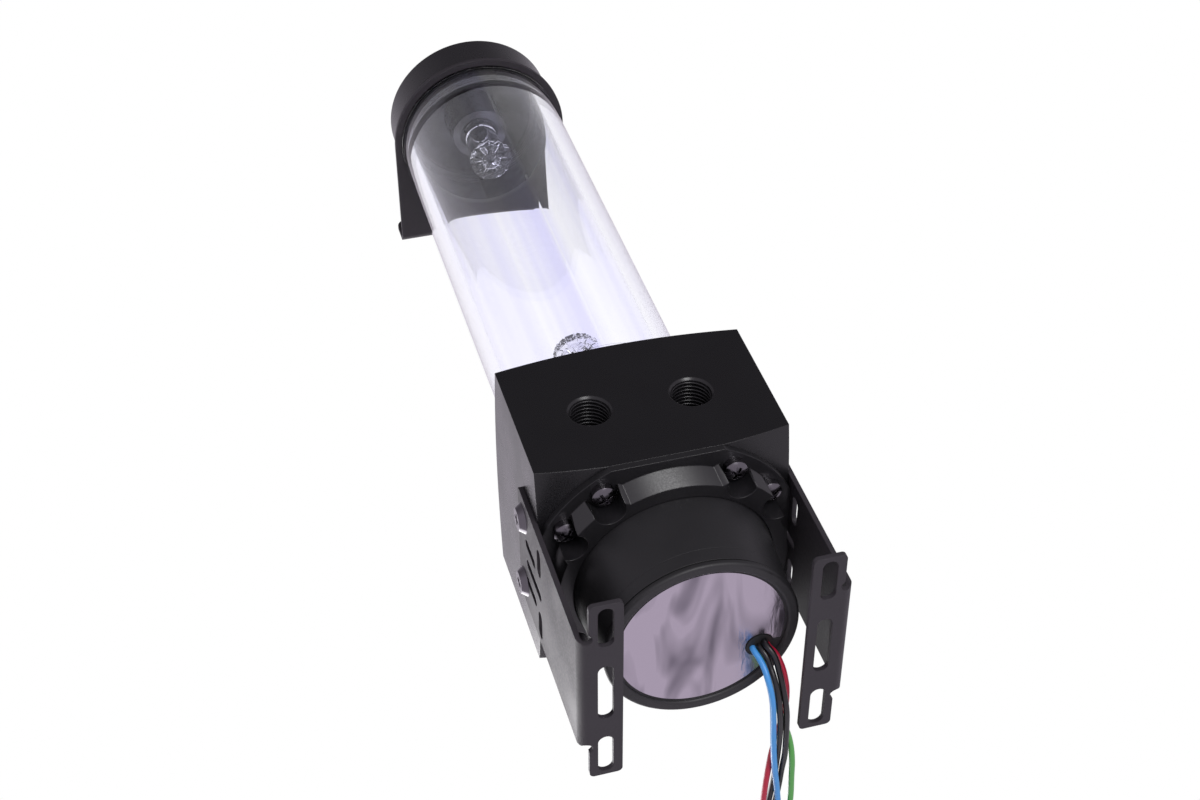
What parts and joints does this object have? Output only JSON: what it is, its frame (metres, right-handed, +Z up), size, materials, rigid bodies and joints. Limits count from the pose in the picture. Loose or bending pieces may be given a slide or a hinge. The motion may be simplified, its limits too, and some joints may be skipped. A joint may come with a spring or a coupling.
{
  "type": "coolant pump reservoir",
  "caption": "Electric coolant pump under a square pump top with side ports, a tall clear reservoir tube with a round cap, folded feet, an upper bracket and leads",
  "frame": {"origin": "middle of the rectangle of end slots in the feet, on the face the feet stand on and on the axis shared by pump, tube and cap", "axes": "+Z up along the tube, +X out of the face with the two ports, +Y towards the inlet port"},
  "size_m": [0.164, 0.1044, 0.3005],
  "materials": {
    "acetal_black": "machined satin black acetal",
    "acrylic_clear": "polished clear acrylic",
    "nozzle_clear": "moulded clear acrylic",
    "seal_rubber": "black rubber",
    "sheet_black": "fine black powder coat on steel sheet",
    "plug_metal": "black plated brass",
    "ring_plastic": "moulded black plastic, slightly glossy",
    "screw_black": "black oxide steel",
    "can_plastic": "moulded matt black plastic",
    "label_foil": "slightly creased mirror foil",
    "stainless_steel": "drawn stainless steel",
    "ball_ceramic": "polished ceramic",
    "rotor_magnet": "coated magnet",
    "impeller_plastic": "moulded natural plastic",
    "core_steel": "laminated steel",
    "winding_copper": "enamelled copper",
    "board_green": "solder mask",
    "wire_red": "smooth wire insulation",
    "wire_black": "smooth wire insulation",
    "wire_blue": "smooth wire insulation",
    "wire_green": "smooth wire insulation",
    "plug_nylon": "moulded black nylon",
    "pin_tin": "tinned brass"
  },
  "bodies": {
    "base": {"pump_top": "acetal_black", "reservoir_tube": "acrylic_clear", "lower_tube_seal": "seal_rubber", "riser_nozzle": "nozzle_clear", "top_bracket": "sheet_black", "clamp_ring": "ring_plastic", "clamp_screws": "screw_black", "pump_can": "can_plastic", "bottom_cover": "can_plastic", "foil_label": "label_foil", "pump_seal": "seal_rubber", "separation_cup": "stainless_steel", "bearing_ball": "ball_ceramic", "stator_core": "core_steel", "stator_coils": "winding_copper", "circuit_board": "board_green", "lead_grommet": "seal_rubber", "left_foot": "sheet_black", "right_foot": "sheet_black", "foot_screws": "screw_black", "lead_red": "wire_red", "lead_power_black": "wire_black", "lead_signal_black": "wire_black", "lead_blue": "wire_blue", "lead_green": "wire_green", "coil_red": "wire_red", "coil_power_black": "wire_black", "coil_signal_black": "wire_black", "coil_blue": "wire_blue", "coil_green": "wire_green", "power_plug": "plug_nylon", "power_pins": "pin_tin", "signal_plug": "plug_nylon"},
    "rotor": {"rotor": "rotor_magnet", "impeller": "impeller_plastic"},
    "cap": {"top_cap": "acetal_black", "cap_nozzle": "nozzle_clear", "upper_tube_seal": "seal_rubber"},
    "fill_plug": {"fill_plug": "plug_metal", "fill_plug_seal": "seal_rubber"}
  },
  "joints": [
    {"name": "rotor_spin", "type": "hinge", "parent": "base", "child": "rotor", "pos_m": [0, 0, 0.05], "axis": [0, 0, 1], "continuous": true},
    {"name": "cap_lift", "type": "slide", "parent": "base", "child": "cap", "axis": [0, 0, 1], "range_m": [0, 0.04]},
    {"name": "fill_plug_lift", "type": "slide", "parent": "cap", "child": "fill_plug", "axis": [0, 0, 1], "range_m": [0, 0.03]}
  ]
}
